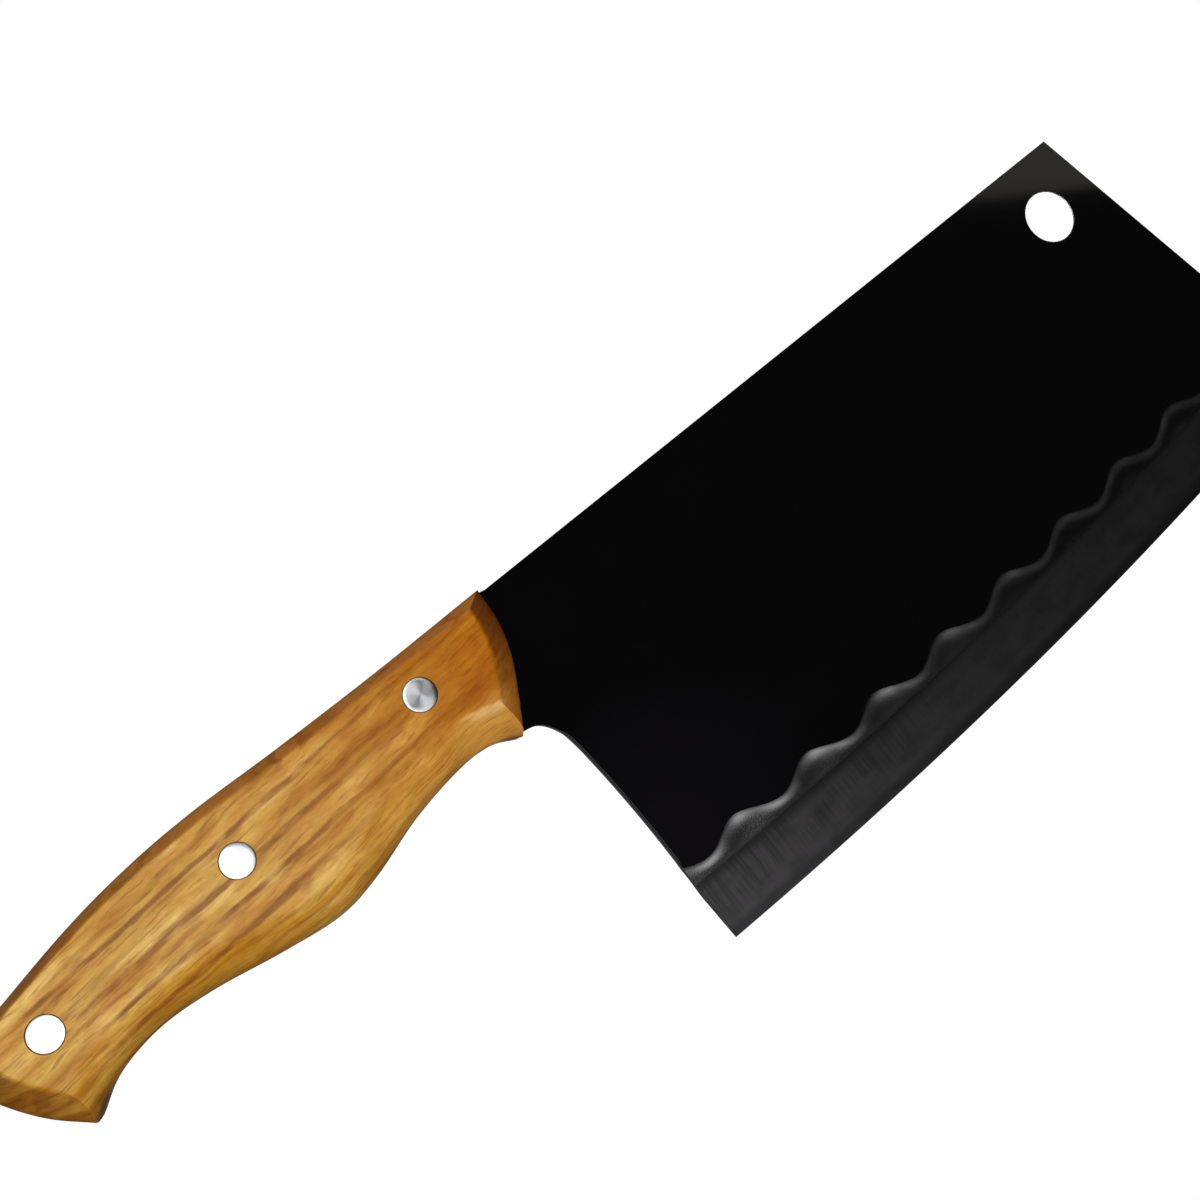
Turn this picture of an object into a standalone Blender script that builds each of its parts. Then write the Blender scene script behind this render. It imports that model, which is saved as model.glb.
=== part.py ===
"""Meat cleaver: one steel blade with a full tang, two wooden handle scales and three two-piece rivets.

Metres, +Z up. The cleaver lies on its left side: +X runs from the butt of the handle to the tip,
+Y from the cutting edge to the spine, and +Z from the left scale to the right scale.
Shapes are drawn in the blade's own coordinates, whose origin is where the spine meets the handle,
halfway through the steel. One empty then puts the middle of the whole outline over the world origin,
with the lowest face at Z = 0.

A rivet is a headed pin that enters a headed tube from the other side, inside the bore of the tang.
"""
import math

import bmesh
import bpy
from mathutils import Vector

MM = 0.001
GAP = 0.3 * MM                        # clearance between neighbouring pieces

# Blade
STEEL_THICKNESS = 2.6 * MM
SPINE_END_X = 160.05 * MM             # upper corner of the end edge
END_LEAN = 0.218                      # the end edge runs forward by this much per unit of depth
HEEL_X = -5.0 * MM                    # lower corner of the heel
HEEL_BOW = 0.62 * MM                  # the heel line bows in by this much between these two depths
HEEL_TOP_Y = -34.0 * MM               # where the heel line leaves the choil
HEEL_LOW_Y = -70.0 * MM               # below this it runs straight
HEEL_STEPS = 6                        # straight steps in the heel line above the bevel
EDGE_RADIUS = 1232.0 * MM             # the cutting edge is one long arc
EDGE_BELLY = Vector((62.4 * MM, -81.8 * MM))   # its deepest point
EDGE_CENTRE = EDGE_BELLY + Vector((0.0, EDGE_RADIUS))
HANG_HOLE_RADIUS = 5.65 * MM
HANG_HOLE_SEGMENTS = 48
HANG_HOLE = Vector((148.8 * MM, -13.5 * MM))

# Below the flat of the blade the steel steps down from a wavy border, in a hollow fillet, to a plain
# taper. Distances are measured from the cutting edge
WAVE_DISTANCE = 16.55 * MM            # mean distance of the wavy border
WAVE_HEIGHT = 1.55 * MM
WAVE_LENGTH = 18.82 * MM
WAVE_CREST_X = 9.42 * MM
WAVE_SHARPNESS = 0.04                 # second harmonic: crests a little narrower than troughs
WAVE_LEAN = 0.05                      # second harmonic: flanks steeper on the side of the heel
STEPS_PER_WAVE = 10
FILLET_SHARES = [0.0, 0.28, 0.64, 1.0]   # rows of points on the fillet, from its top to its foot
FILLET_DEPTH = 0.45 * MM              # drop from the flat of the blade to the head of the taper
FILLET_CURVE = 1.5                    # how fast the fillet flattens on its way down
FILLET_REACH = 0.8                    # share of the way down by which it is flat
CREST_HOLLOW = 0.22 * MM              # extra depth below each crest
TAPER_DISTANCE = 12.3 * MM            # straight line where the taper begins
SHOULDER_DISTANCE = 0.8 * MM          # width of the honed strip along the edge
SHOULDER_HALF = 0.14 * MM             # half the steel's thickness at that strip
EDGE_HALF = 0.05 * MM

# Handle
HANDLE_HALF = 9.5 * MM                # from the blade's middle plane to the flat of a scale
RIVET_CENTRES = [
    ("front", Vector((-22.9 * MM, -7.8 * MM))),
    ("middle", Vector((-64.4 * MM, -10.0 * MM))),
    ("butt", Vector((-104.0 * MM, -12.0 * MM))),
]
HEAD_RADIUS = 3.1 * MM
HEAD_HEIGHT = 1.5 * MM
HEAD_CHAMFER = 0.15 * MM
HEAD_RECESS = 0.05 * MM               # heads end this far below the flat of the scale
TUBE_RADIUS = 2.0 * MM
TUBE_BORE = 1.5 * MM
TUBE_FLOOR = 0.4 * MM                 # the tube's bore stops this far above its own head
TUBE_MOUTH = 1.5 * MM                 # the tube ends this far below the pin's head
PIN_RADIUS = 1.2 * MM
PIN_END = 1.0 * MM                    # the pin ends this far above the tube's head
RIVET_SEGMENTS = 32
BORE_OVERRUN = 1.0 * MM               # bore cutters run on this far past the flat of a scale

# Corners of the handle and the points that its long curves pass through, in millimetres
FRONT_TOP = (-2.0, 0.5)
FRONT_BOTTOM = (-12.5, -25.4)
BUTT_TOP = (-118.3, -6.4)
BUTT_BOTTOM = (-107.2, -28.7)
HANDLE_TOP = [FRONT_TOP, (-26.0, 0.4), (-48.0, 0.8), (-65.0, 1.4), (-79.0, 0.9), (-94.0, -1.1),
              BUTT_TOP]
HANDLE_BUTT = [BUTT_TOP, (-118.4, -10.5), (-116.6, -16.0), (-112.6, -22.7), BUTT_BOTTOM]
HANDLE_BOTTOM = [BUTT_BOTTOM, (-101.0, -25.2), (-91.5, -23.4), (-81.0, -24.3), (-68.0, -27.1),
                 (-57.0, -28.8), (-48.0, -27.6), (-36.0, -24.2), (-24.0, -22.5), (-17.0, -23.2),
                 FRONT_BOTTOM]
HANDLE_FRONT = [FRONT_BOTTOM, (-8.2, -18.6), (-4.6, -12.2), (-2.6, -5.8), FRONT_TOP]
CHOIL = [(-12.5, -24.7), (-8.3, -25.9), (-5.8, -29.6), (-5.0, -34.0)]

# How each side of a scale falls away from its flat: (width, depth, power), where the surface moves
# inwards by width * t ** power as it climbs the last depth of the scale; power None is a quarter round
TOP_CHAMFER = (2.1 * MM, 3.0 * MM, 1.15)
BUTT_BEVEL = (5.2 * MM, 4.5 * MM, 1.3)
BOTTOM_ROUND = (7.6 * MM, 6.4 * MM, None)
FRONT_BEVEL = (4.2 * MM, 4.0 * MM, 1.5)
SCALE_SIDES = [
    (HANDLE_TOP, TOP_CHAMFER, 30),
    (HANDLE_BUTT, BUTT_BEVEL, 10),
    (HANDLE_BOTTOM, BOTTOM_ROUND, 40),
    (HANDLE_FRONT, FRONT_BEVEL, 12),
]
LEVELS_BELOW_FLAT = [7.9, 6.4, 5.6, 4.5, 4.0, 3.0, 2.0, 1.2, 0.6, 0.2, 0.0]
SIDE_OVERRUN = 6 * MM                 # sides run on this far past their ends, so that they cross
TANG_CURVE_STEPS = 4
SCALE_CURVE_STEPS = 6


def clear_scene():
    for obj in list(bpy.data.objects):
        bpy.data.objects.remove(obj, do_unlink=True)


def make_material(name, colour, roughness, metallic):
    material = bpy.data.materials.new(name)
    material.use_nodes = True
    shader = material.node_tree.nodes["Principled BSDF"]
    shader.inputs["Base Color"].default_value = (*colour, 1.0)
    shader.inputs["Roughness"].default_value = roughness
    shader.inputs["Metallic"].default_value = metallic
    return material


def make_object(name, mesh_data, material, parent, smooth_angle=None):
    """A mesh object from a finished bmesh, with its faces turned outwards."""
    bmesh.ops.recalc_face_normals(mesh_data, faces=mesh_data.faces)
    mesh = bpy.data.meshes.new(name)
    mesh_data.to_mesh(mesh)
    mesh_data.free()
    if smooth_angle is not None:
        mesh.shade_smooth()
        mesh.set_sharp_from_angle(angle=math.radians(smooth_angle))
    obj = bpy.data.objects.new(name, mesh)
    obj.data.materials.append(material)
    obj.parent = parent
    bpy.context.scene.collection.objects.link(obj)
    return obj


def curve_through(points_mm, steps):
    """A smooth open curve through points given in millimetres, with so many steps in each span."""
    points = [Vector(p) * MM for p in points_mm]
    padded = [2 * points[0] - points[1], *points, 2 * points[-1] - points[-2]]
    curve = []
    for before, start, end, after in zip(padded, padded[1:], padded[2:], padded[3:]):
        for step in range(steps):
            t = step / steps
            ease_in = (end - before) * (t - 2 * t * t + t ** 3) / 2
            ease_out = (after - start) * (t ** 3 - t * t) / 2
            blend = 3 * t * t - 2 * t ** 3
            curve.append(start.lerp(end, blend) + ease_in + ease_out)
    curve.append(points[-1])
    return curve


def turned(profile, segments):
    """A solid of revolution about Z; the profile's first and last points lie on the axis."""
    solid = bmesh.new()
    rings = []
    for radius, height in profile:
        if radius == 0.0:
            rings.append([solid.verts.new((0.0, 0.0, height))])
            continue
        angles = [2 * math.pi * k / segments for k in range(segments)]
        rings.append([solid.verts.new((radius * math.cos(a), radius * math.sin(a), height))
                      for a in angles])
    for lower, upper in zip(rings, rings[1:]):
        for k in range(segments):
            corners = [lower[k % len(lower)], lower[(k + 1) % len(lower)],
                       upper[(k + 1) % len(upper)], upper[k % len(upper)]]
            solid.faces.new(list(dict.fromkeys(corners)))
    return solid


def straight_bore(radius, reach):
    """Profile of a plain round hole that runs this far to both sides of the blade's middle plane."""
    return [(0.0, -reach), (radius, -reach), (radius, reach), (0.0, reach)]


def bore(obj, name, centre, profile, segments=RIVET_SEGMENTS):
    """Cuts a turned hole along Z into obj, centred on a point of the blade's plane."""
    cutter = make_object(name, turned(profile, segments), obj.data.materials[0], obj.parent)
    cutter.location = (centre.x, centre.y, 0.0)
    cutter.hide_render = True
    cutter.display_type = "WIRE"
    cut = obj.modifiers.new(name, "BOOLEAN")
    cut.operation = "DIFFERENCE"
    cut.solver = "EXACT"
    cut.object = cutter


# ---------------------------------------------------------------- blade

def heel_line(y):
    """The X of the heel line at this depth: a shallow hollow between the choil and the heel's corner."""
    middle = (HEEL_TOP_Y + HEEL_LOW_Y) / 2
    share = (y - middle) / (HEEL_TOP_Y - middle)
    return HEEL_X + HEEL_BOW * max(0.0, 1 - share * share)


def edge_point(x, distance):
    """The point at this X that lies this far inside the cutting edge."""
    radius = EDGE_RADIUS - distance
    return Vector((x, EDGE_CENTRE.y - math.sqrt(radius ** 2 - (x - EDGE_CENTRE.x) ** 2)))


def wave(x):
    """How far the wavy border lies above its mean line, from 1 at a crest to about -1 in a trough."""
    angle = 2 * math.pi * (x - WAVE_CREST_X) / WAVE_LENGTH
    shape = WAVE_SHARPNESS * (math.cos(2 * angle) - 1) - WAVE_LEAN * math.sin(2 * angle)
    return math.cos(angle) + shape


def wave_distance(x):
    return WAVE_DISTANCE + WAVE_HEIGHT * wave(x)


def fillet_point(x, share):
    """Distance from the edge and half thickness, this share of the way down the fillet."""
    distance = wave_distance(x) + (TAPER_DISTANCE - wave_distance(x)) * share
    drop = FILLET_DEPTH * (1 - max(0.0, 1 - share / FILLET_REACH) ** FILLET_CURVE)
    hollow = CREST_HOLLOW * max(wave(x), 0.0) * math.sin(math.pi * share)
    return distance, STEEL_THICKNESS / 2 - drop - hollow


def shoulder_point(x):
    return SHOULDER_DISTANCE, SHOULDER_HALF


def cutting_edge_point(x):
    return 0.0, EDGE_HALF


def bevel_rows():
    """Rows of points along the blade, from the wavy border down to the cutting edge."""
    fillet = [lambda x, share=share: fillet_point(x, share) for share in FILLET_SHARES]
    return [bevel_row(shape) for shape in [*fillet, shoulder_point, cutting_edge_point]]


def bevel_row(shape):
    """One row from the heel line to the end edge; shape gives a distance and a height for each X."""
    x_start = HEEL_X
    x_end = SPINE_END_X
    for _ in range(8):
        x_start = heel_line(edge_point(x_start, shape(x_start)[0]).y)
        x_end = SPINE_END_X - END_LEAN * edge_point(x_end, shape(x_end)[0]).y
    steps = round((SPINE_END_X - HEEL_X) / WAVE_LENGTH * STEPS_PER_WAVE)
    row = []
    for step in range(steps + 1):
        x = x_start + (x_end - x_start) * step / steps
        distance, height = shape(x)
        row.append((x, edge_point(x, distance).y, height))
    return row


def tang_outline():
    """The handle's part of the flat, from the spine round the butt to the top of the heel line."""
    outline = [Vector((0.0, 0.0))]
    outline += curve_through(HANDLE_TOP, TANG_CURVE_STEPS)
    outline += curve_through(HANDLE_BUTT, TANG_CURVE_STEPS)[1:]
    outline += curve_through(HANDLE_BOTTOM, TANG_CURVE_STEPS)[1:-1]
    outline += curve_through(CHOIL, TANG_CURVE_STEPS)
    return outline


def heel_outline():
    """Points down the heel line, from below the choil to just above the wavy border."""
    border_y = edge_point(HEEL_X, wave_distance(HEEL_X)).y
    heights = [HEEL_TOP_Y + (border_y - HEEL_TOP_Y) * step / HEEL_STEPS
               for step in range(1, HEEL_STEPS)]
    return [Vector((heel_line(y), y)) for y in heights]


def build_blade(material, parent):
    solid = bmesh.new()
    half = STEEL_THICKNESS / 2
    rows = bevel_rows()
    rims = []
    for side in (1, -1):
        spine_end = solid.verts.new((SPINE_END_X, 0.0, side * half))
        tang = [solid.verts.new((p.x, p.y, side * half)) for p in tang_outline()]
        heel = [solid.verts.new((p.x, p.y, side * half)) for p in heel_outline()]
        grid = [[solid.verts.new((x, y, side * z)) for x, y, z in row] for row in rows]
        solid.faces.new(tang)
        solid.faces.new([spine_end, tang[0], tang[-1], *heel, *grid[0]])
        for upper, lower in zip(grid, grid[1:]):
            for k in range(len(upper) - 1):
                solid.faces.new((upper[k], lower[k], lower[k + 1], upper[k + 1]))
        heel_end = [row[0] for row in grid[:-1]]
        tip_end = [row[-1] for row in grid[-2::-1]]
        rims.append([spine_end, *tang, *heel, *heel_end, *grid[-1], *tip_end])
    right, left = rims
    for k in range(len(right)):
        solid.faces.new((right[k - 1], right[k], left[k], left[k - 1]))
    blade = make_object("blade_and_tang", solid, material, parent)
    reach = STEEL_THICKNESS
    bore(blade, "hang_hole_cutter", HANG_HOLE, straight_bore(HANG_HOLE_RADIUS, reach),
         HANG_HOLE_SEGMENTS)
    for name, centre in RIVET_CENTRES:
        bore(blade, f"tang_bore_cutter_{name}", centre, straight_bore(TUBE_RADIUS + GAP, reach))
    return blade


# ---------------------------------------------------------------- handle scales

def inset_at(side, below_flat):
    """How far a side of the scale has moved inwards at this distance below the flat."""
    width, depth, power = side
    t = max(0.0, 1.0 - below_flat / depth)
    if power is None:
        return width * (1.0 - math.sqrt(1.0 - t * t))
    return width * t ** power


def moved_inwards(curve, distance):
    """The curve moved to its left, with both ends run on so that neighbours cross."""
    moved = []
    for k, point in enumerate(curve):
        along = (curve[min(k + 1, len(curve) - 1)] - curve[max(k - 1, 0)]).normalized()
        moved.append(point + distance * Vector((-along.y, along.x)))
    start = moved[0] + SIDE_OVERRUN * (moved[0] - moved[1]).normalized()
    end = moved[-1] + SIDE_OVERRUN * (moved[-1] - moved[-2]).normalized()
    return [start, *moved, end]


def crossing(first, second):
    """Where two open curves cross, as (place along the first, place along the second)."""
    for i, (a, b) in enumerate(zip(first, first[1:])):
        for j, (c, d) in enumerate(zip(second, second[1:])):
            ab, cd, ac = b - a, d - c, c - a
            turn = ab.cross(cd)
            if turn == 0.0:
                continue
            s = ac.cross(cd) / turn
            t = ac.cross(ab) / turn
            if 0.0 <= s <= 1.0 and 0.0 <= t <= 1.0:
                return i + s, j + t
    raise ValueError("the sides of the scale do not meet")


def point_on(curve, place):
    k = min(int(place), len(curve) - 2)
    return curve[k].lerp(curve[k + 1], place - k)


def evenly_spaced(curve, start, end, count):
    """So many points between two places on the curve, the last place left out."""
    inner = range(int(start) + 1, int(math.ceil(end)))
    piece = [point_on(curve, start), *[curve[k] for k in inner], point_on(curve, end)]
    lengths = [0.0]
    for a, b in zip(piece, piece[1:]):
        lengths.append(lengths[-1] + (b - a).length)
    points = []
    k = 0
    for step in range(count):
        target = lengths[-1] * step / count
        while lengths[k + 1] < target:
            k += 1
        share = (target - lengths[k]) / (lengths[k + 1] - lengths[k])
        points.append(piece[k].lerp(piece[k + 1], share))
    return points


def scale_ring(below_flat):
    """The outline of a scale at this distance below its flat, round from the front's top corner."""
    sides = [moved_inwards(curve_through(points, SCALE_CURVE_STEPS), inset_at(side, below_flat))
             for points, side, _ in SCALE_SIDES]
    corners = [crossing(sides[k - 1], sides[k]) for k in range(len(sides))]
    ring = []
    for k, (_, _, count) in enumerate(SCALE_SIDES):
        start = corners[k][1]
        end = corners[(k + 1) % len(sides)][0]
        ring += evenly_spaced(sides[k], start, end, count)
    return ring


def build_scale(name, side, material, parent):
    solid = bmesh.new()
    rings = []
    for level in LEVELS_BELOW_FLAT:
        below_flat = level * MM
        height = side * max(HANDLE_HALF - below_flat, STEEL_THICKNESS / 2 + GAP)
        rings.append([solid.verts.new((p.x, p.y, height)) for p in scale_ring(below_flat)])
    for lower, upper in zip(rings, rings[1:]):
        for k in range(len(lower)):
            solid.faces.new((lower[k - 1], lower[k], upper[k], upper[k - 1]))
    solid.faces.new(rings[0])
    solid.faces.new(rings[-1])
    scale = make_object(name, solid, material, parent, smooth_angle=20)
    seat = side * (HANDLE_HALF - HEAD_RECESS - HEAD_HEIGHT - GAP)
    beyond = side * (HANDLE_HALF + BORE_OVERRUN)
    counterbore = [(0.0, 0.0), (TUBE_RADIUS + GAP, 0.0), (TUBE_RADIUS + GAP, seat),
                   (HEAD_RADIUS + GAP, seat), (HEAD_RADIUS + GAP, beyond), (0.0, beyond)]
    for rivet, centre in RIVET_CENTRES:
        bore(scale, f"{name}_bore_cutter_{rivet}", centre, counterbore)
    return scale


# ---------------------------------------------------------------- rivets

def pin_profile():
    """Headed pin, from the end of its shank up to the face of its head."""
    face = HANDLE_HALF - HEAD_RECESS
    under_head = face - HEAD_HEIGHT
    shank_end = -under_head + PIN_END
    return [(0.0, shank_end), (PIN_RADIUS - HEAD_CHAMFER, shank_end),
            (PIN_RADIUS, shank_end + HEAD_CHAMFER), (PIN_RADIUS, under_head),
            (HEAD_RADIUS, under_head), (HEAD_RADIUS, face - HEAD_CHAMFER),
            (HEAD_RADIUS - HEAD_CHAMFER, face), (0.0, face)]


def tube_profile():
    """Headed tube, from the floor of its bore, up round the tube's mouth and down to its head."""
    face = HANDLE_HALF - HEAD_RECESS
    under_head = face - HEAD_HEIGHT
    floor = -under_head + TUBE_FLOOR
    mouth = under_head - TUBE_MOUTH
    return [(0.0, floor), (TUBE_BORE, floor), (TUBE_BORE, mouth), (TUBE_RADIUS, mouth),
            (TUBE_RADIUS, -under_head), (HEAD_RADIUS, -under_head),
            (HEAD_RADIUS, -face + HEAD_CHAMFER), (HEAD_RADIUS - HEAD_CHAMFER, -face),
            (0.0, -face)]


def build_rivets(material, parent):
    for place, centre in RIVET_CENTRES:
        for kind, profile in (("pin", pin_profile()), ("tube", tube_profile())):
            half = make_object(f"rivet_{place}_{kind}", turned(profile, RIVET_SEGMENTS),
                               material, parent, smooth_angle=30)
            half.location = (centre.x, centre.y, 0.0)


# ---------------------------------------------------------------- assembly

def centre_of_outline():
    """The middle of the box round the whole cleaver, in blade coordinates."""
    points = tang_outline() + [Vector((x, y)) for x, y, _ in bevel_row(cutting_edge_point)]
    xs = [p.x for p in points]
    ys = [p.y for p in points]
    return Vector(((min(xs) + max(xs)) / 2, (min(ys) + max(ys)) / 2))


def build_cleaver():
    clear_scene()
    coated_steel = make_material("blade_steel", (0.012, 0.012, 0.014), 0.38, 0.6)
    wood = make_material("handle_wood", (0.56, 0.33, 0.11), 0.35, 0.0)
    rivet_steel = make_material("rivet_steel", (0.72, 0.72, 0.73), 0.28, 1.0)

    middle = centre_of_outline()
    cleaver = bpy.data.objects.new("cleaver", None)
    cleaver.location = (-middle.x, -middle.y, HANDLE_HALF)
    bpy.context.scene.collection.objects.link(cleaver)

    build_blade(coated_steel, cleaver)
    build_scale("handle_scale_right", 1, wood, cleaver)
    build_scale("handle_scale_left", -1, wood, cleaver)
    build_rivets(rivet_steel, cleaver)


build_cleaver()
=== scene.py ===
"""Looks of the meat cleaver: fine meshes, materials, light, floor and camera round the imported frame.

Shapes are drawn in the blade's own coordinates, in metres: the origin is where the spine meets the
handle, halfway through the steel, +X runs to the tip, +Y to the spine and +Z to the right scale.
The blade's and the scales' objects sit at that origin, so object coordinates in their materials are
blade coordinates. A rivet's objects sit on the rivet's own axis.
"""
import math

import bmesh
import bpy
from mathutils import Matrix, Vector


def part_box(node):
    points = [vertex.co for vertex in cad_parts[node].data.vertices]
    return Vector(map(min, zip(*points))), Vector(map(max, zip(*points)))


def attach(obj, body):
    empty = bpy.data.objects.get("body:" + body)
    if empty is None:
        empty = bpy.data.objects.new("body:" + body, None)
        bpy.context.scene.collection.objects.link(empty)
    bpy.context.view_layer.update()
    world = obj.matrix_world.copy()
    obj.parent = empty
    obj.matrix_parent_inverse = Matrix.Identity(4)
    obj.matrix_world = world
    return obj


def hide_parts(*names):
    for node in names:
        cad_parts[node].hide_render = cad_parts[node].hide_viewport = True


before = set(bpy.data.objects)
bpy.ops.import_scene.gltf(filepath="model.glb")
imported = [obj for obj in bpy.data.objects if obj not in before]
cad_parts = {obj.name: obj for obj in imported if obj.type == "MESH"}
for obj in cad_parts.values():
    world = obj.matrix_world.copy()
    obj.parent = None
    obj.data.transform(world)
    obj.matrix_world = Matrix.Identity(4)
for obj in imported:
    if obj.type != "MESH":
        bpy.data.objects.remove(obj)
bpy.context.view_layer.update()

MM = 0.001

# ---------------------------------------------------------------- dimensions, as in the CAD model

STEEL_HALF = 1.3 * MM                 # half the steel's thickness
SPINE_END_X = 160.05 * MM
END_LEAN = 0.218                      # the tip end runs outwards this much per unit below the spine
HEEL_X = -5.0 * MM
HEEL_BOW = 0.62 * MM                  # the heel is hollowed this much halfway down
HEEL_TOP_Y = -34.0 * MM
HEEL_LOW_Y = -70.0 * MM
EDGE_RADIUS = 1232.0 * MM             # of the cutting edge's arc
EDGE_BELLY = Vector((62.4 * MM, -81.8 * MM))
EDGE_CENTRE = EDGE_BELLY + Vector((0.0, EDGE_RADIUS))
HANG_HOLE = Vector((148.8 * MM, -13.5 * MM))
HANG_HOLE_RADIUS = 5.65 * MM

# the bevel: a wavy border, a hollow fillet below it, a taper and a honed strip at the edge
WAVE_DISTANCE = 16.55 * MM            # from the cutting edge to the middle of the waves
WAVE_HEIGHT = 1.55 * MM               # from there to a crest
WAVE_LENGTH = 18.82 * MM
WAVE_CREST_X = 9.42 * MM
WAVE_SHARPNESS = 0.04
WAVE_LEAN = 0.05
FILLET_DEPTH = 0.45 * MM
FILLET_CURVE = 1.5                    # power of its curve
FILLET_REACH = 0.8                    # share of its width at which it is at its full depth
CREST_HOLLOW = 0.22 * MM              # further depth below each crest
TAPER_DISTANCE = 12.3 * MM            # from the cutting edge to the head of the taper
SHOULDER_DISTANCE = 0.8 * MM          # and to the head of the honed strip
SHOULDER_HALF = 0.14 * MM             # half the thickness there
EDGE_HALF = 0.05 * MM                 # and at the edge itself

HANDLE_HALF = 9.5 * MM
RIVET_CENTRES = {
    "front": Vector((-22.9 * MM, -7.8 * MM)),
    "middle": Vector((-64.4 * MM, -10.0 * MM)),
    "butt": Vector((-104.0 * MM, -12.0 * MM)),
}
HEAD_RADIUS = 3.1 * MM
HEAD_HEIGHT = 1.5 * MM
TUBE_RADIUS = 2.0 * MM
TUBE_BORE = 1.5 * MM
PIN_RADIUS = 1.2 * MM
PIN_TIP = 0.15 * MM                   # chamfer at the pin's end
PIN_END = 1.0 * MM                    # from the underside of the tube's head to the pin's end
TUBE_FLOOR = 0.4 * MM                 # and to the floor of the tube's bore
TUBE_MOUTH = 1.5 * MM                 # from the underside of the pin's head to the tube's mouth

# outlines of the handle and of the blade's choil, in millimetres, counterclockwise seen from the right
FRONT_TOP = (-2.0, 0.5)
FRONT_BOTTOM = (-12.5, -25.4)
BUTT_TOP = (-118.3, -6.4)
BUTT_BOTTOM = (-107.2, -28.7)
HANDLE_TOP = [FRONT_TOP, (-26.0, 0.4), (-48.0, 0.8), (-65.0, 1.4), (-79.0, 0.9), (-94.0, -1.1),
              BUTT_TOP]
HANDLE_BUTT = [BUTT_TOP, (-118.4, -10.5), (-116.6, -16.0), (-112.6, -22.7), BUTT_BOTTOM]
HANDLE_BOTTOM = [BUTT_BOTTOM, (-101.0, -25.2), (-91.5, -23.4), (-81.0, -24.3), (-68.0, -27.1),
                 (-57.0, -28.8), (-48.0, -27.6), (-36.0, -24.2), (-24.0, -22.5), (-17.0, -23.2),
                 FRONT_BOTTOM]
HANDLE_FRONT = [FRONT_BOTTOM, (-8.2, -18.6), (-4.6, -12.2), (-2.6, -5.8), FRONT_TOP]
CHOIL = [(-12.5, -24.7), (-8.3, -25.9), (-5.8, -29.6), (-5.0, -34.0)]

# where the blade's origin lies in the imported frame, from the place of one rivet
low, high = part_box("rivet_front_pin")
BLADE_ORIGIN = Vector(((low[0] + high[0]) / 2 - RIVET_CENTRES["front"].x,
                       (low[1] + high[1]) / 2 - RIVET_CENTRES["front"].y,
                       HANDLE_HALF))

# ---------------------------------------------------------------- finish that only the eye needs

EDGE_ROUND = 0.2 * MM                 # rounding of the blade's spine, heel and end edge
ROUND_STEPS = 3
WAVE_STEPS = 30                       # columns of the bevel in each wave
ROW_END_PASSES = 8                    # substitutions that settle where a row of the bevel ends
# rows of the fillet, as shares of its width, and of the taper, as distances from the cutting edge
FILLET_SHARES = [0.0, 0.04, 0.1, 0.18, 0.27, 0.36, 0.46, 0.56, 0.66, 0.75, 0.83, 0.92, 1.0]
TAPER_ROWS = [11.6 * MM, 10.7 * MM, 9.5 * MM, 8.0 * MM, 6.0 * MM, 4.0 * MM, 2.0 * MM, 1.0 * MM]
TAPER_CURVE = 1.25                    # the taper starts gently and steepens
HEEL_STEPS = 24
TANG_SIDE_STEPS = 12                  # in each span of the tang's long sides and of the choil
TANG_BUTT_STEPS = 10                  # and of its butt
CHOIL_OVERLAP = 4                     # last points of the handle's bottom, which the choil replaces
SCALE_STEPS = 16                      # in each span of a scale's outline
SCALE_RUN_ON = 6 * MM                 # the scale's sides are drawn this much longer, so that they cross
SEAM = 0.06 * MM                      # between the scales and the tang
WOOD_ROUND = 0.4 * MM                 # depth of the rounding of the scales' edges
WOOD_ROUND_WIDTH = 0.8 * WOOD_ROUND
SEAT_RIM = 0.06 * MM                  # rounding of the mouth of a rivet's seat in the wood
HEAD_SEAM = 0.07 * MM                 # between a rivet's head and the wood
HEAD_RIM = 0.10 * MM                  # rounding of a rivet's head
HEAD_RIM_STEPS = 4
HEAD_FACE = HANDLE_HALF - 0.06 * MM   # height of the middle of a rivet's head
HEAD_CROWN = 0.022 * MM               # its rim lies this much lower
TURN_STEPS = 96                       # sides of everything round that shows
BORE_STEPS = 32                       # sides of the hidden bores in the tang
LEVEL_NORMAL = 0.999999               # a face is level if its normal's Z is more than this
CRISP_TURN = math.radians(3)          # the rim of a level face is crisp where the surface turns more


# ---------------------------------------------------------------- mesh helpers

def place_piece(name, solid, materials, node, smooth_angle):
    """A finished piece from a bmesh in blade coordinates. It stands for a CAD node."""
    solid.normal_update()
    bmesh.ops.recalc_face_normals(solid, faces=solid.faces)
    level = [abs(face.normal.z) > LEVEL_NORMAL for face in solid.faces]
    for face in solid.faces:
        face.smooth = True
    for edge in solid.edges:
        first, second = edge.link_faces
        turn = first.normal.angle(second.normal)
        crisp_rim = level[first.index] != level[second.index] and turn > CRISP_TURN
        edge.smooth = not (crisp_rim or turn > math.radians(smooth_angle))
    mesh = bpy.data.meshes.new(name)
    solid.to_mesh(mesh)
    solid.free()
    for material in materials:
        mesh.materials.append(material)
    piece = bpy.data.objects.new(name, mesh)
    piece.location = BLADE_ORIGIN
    bpy.context.scene.collection.objects.link(piece)
    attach(piece, "root")
    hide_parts(node)
    return piece


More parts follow.
